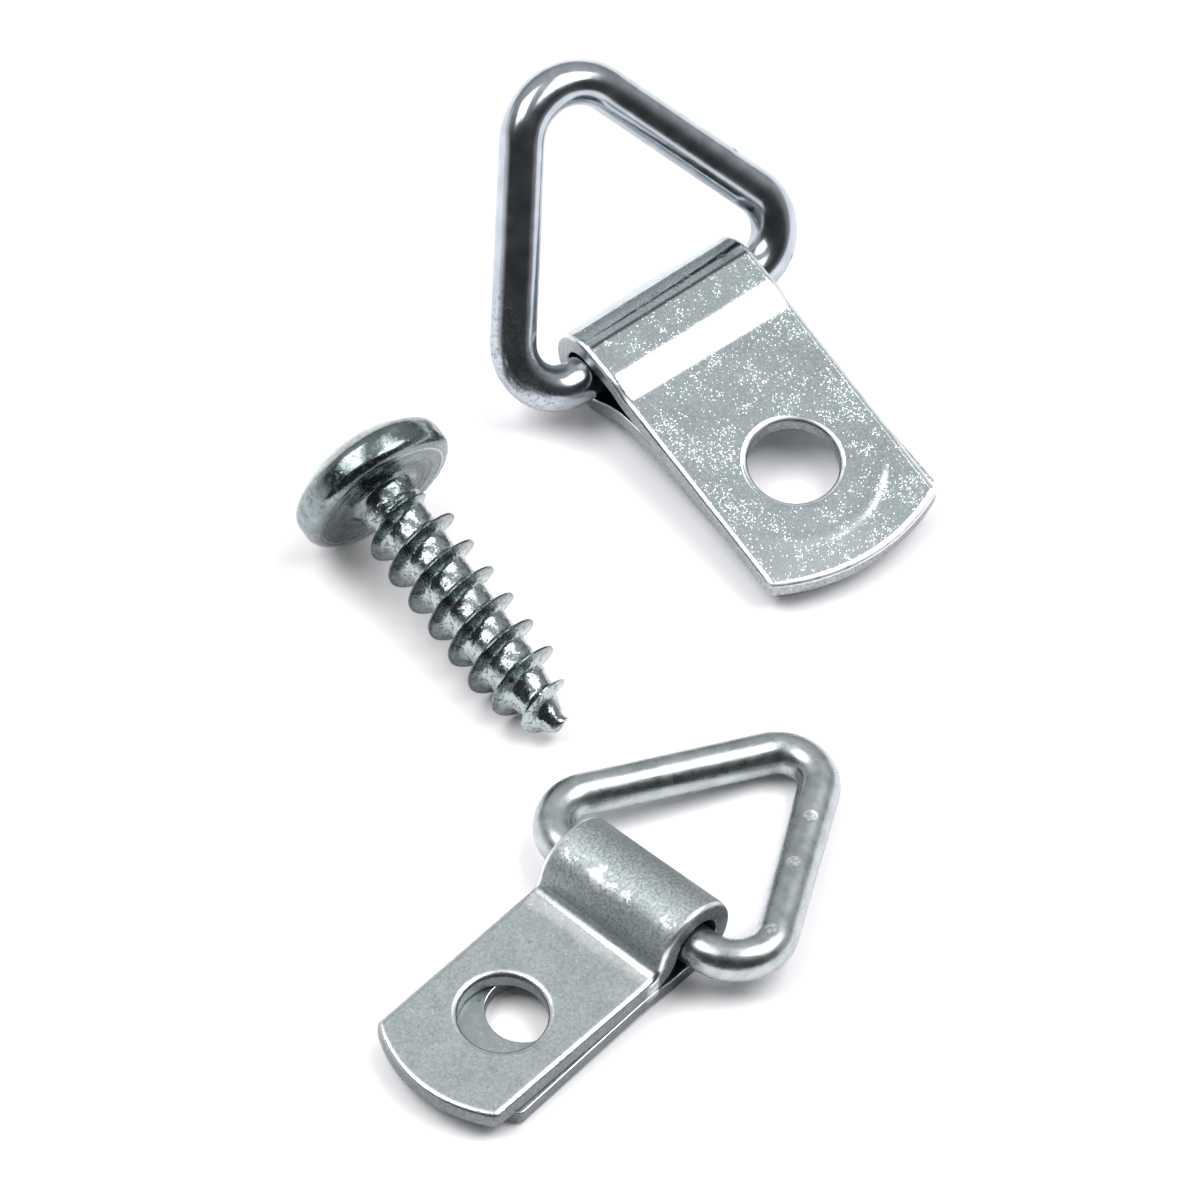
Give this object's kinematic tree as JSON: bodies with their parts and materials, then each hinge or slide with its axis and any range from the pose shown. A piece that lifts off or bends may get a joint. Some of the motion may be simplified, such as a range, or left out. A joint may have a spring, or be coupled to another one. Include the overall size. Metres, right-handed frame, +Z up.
{
  "type": "triangle-ring strap hanger set",
  "caption": "Two zinc-plated strap hangers for pictures, each with a hinged triangular wire ring, and one pan-head tapping screw, laid out as a set.",
  "frame": {"origin": "centre of the set's bounding box in plan, on the table top that the pieces lie on", "axes": "+Z up from the table, +Y along the set from the small hanger to the large hanger, +X to the right in the picture"},
  "size_m": [0.0254, 0.0455, 0.0109],
  "materials": {
    "large_zinc_sheet": "bright zinc plate",
    "large_zinc_wire": "bright zinc plate",
    "small_zinc_sheet": "dull zinc plate",
    "small_zinc_wire": "dull zinc plate",
    "zinc_screw": "zinc plate"
  },
  "bodies": {
    "large_hanger": {"large_strap": "large_zinc_sheet"},
    "large_ring": {"large_ring": "large_zinc_wire"},
    "small_hanger": {"small_strap": "small_zinc_sheet"},
    "small_ring": {"small_ring": "small_zinc_wire"},
    "screw": {"screw": "zinc_screw"}
  },
  "joints": [
    {"name": "large_ring_hinge", "type": "hinge", "parent": "large_hanger", "child": "large_ring", "pos_m": [0.00197, 0.01539, 0.00188], "axis": [0.7944, 0.6074, 0], "range_deg": [-203, 103]},
    {"name": "small_hanger_lift", "type": "slide", "parent": "large_hanger", "child": "small_hanger", "axis": [0, 0, 1], "range_m": [0, 0.02]},
    {"name": "small_ring_hinge", "type": "hinge", "parent": "small_hanger", "child": "small_ring", "pos_m": [0.00066, -0.0125, 0.00194], "axis": [0.7627, -0.6468, 0], "range_deg": [-127, 168]},
    {"name": "screw_lift", "type": "slide", "parent": "large_hanger", "child": "screw", "axis": [0, 0, 1], "range_m": [0, 0.02]}
  ]
}
